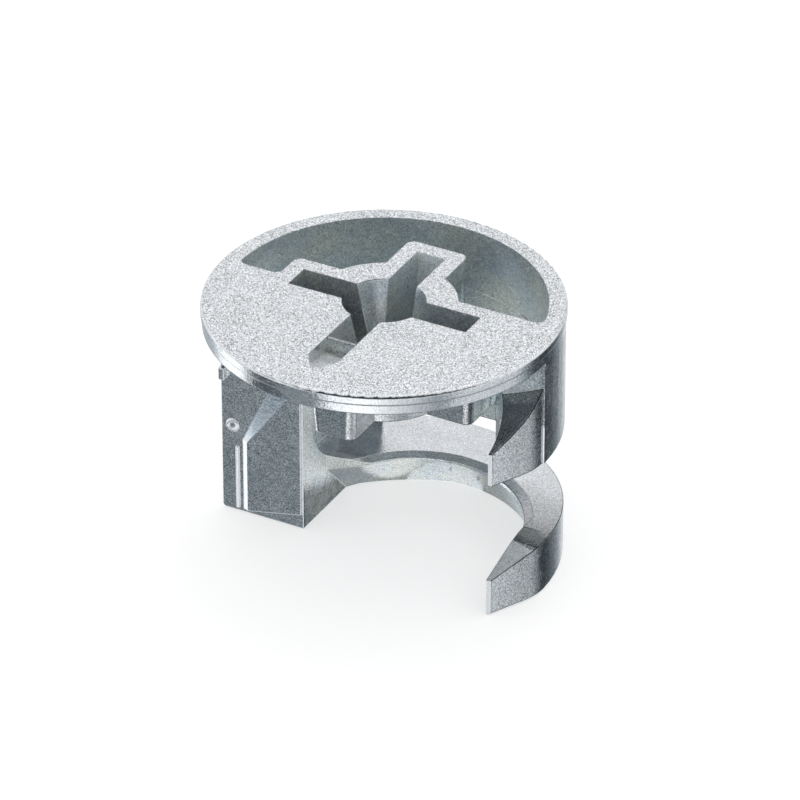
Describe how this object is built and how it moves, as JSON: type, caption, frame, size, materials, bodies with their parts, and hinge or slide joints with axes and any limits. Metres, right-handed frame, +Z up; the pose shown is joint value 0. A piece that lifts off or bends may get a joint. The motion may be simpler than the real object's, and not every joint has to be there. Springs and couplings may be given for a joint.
{
  "type": "furniture cam lock",
  "caption": "Die-cast cam lock housing for panel furniture, with a flange, a cross recess with an arrow arm, a curved pocket and an open cam track that hooks a bolt head.",
  "frame": {"origin": "on the turning axis, at the bottom face", "axes": "+Z up the turning axis towards the flange and its driver recess; -Y is the side where the bolt head comes in and where the arrow arm points"},
  "size_m": [0.0148, 0.0148, 0.0117],
  "materials": {
    "zinc": "fine satin, as cast and plated"
  },
  "bodies": {
    "root": {"cam_housing": "zinc"}
  },
  "joints": []
}
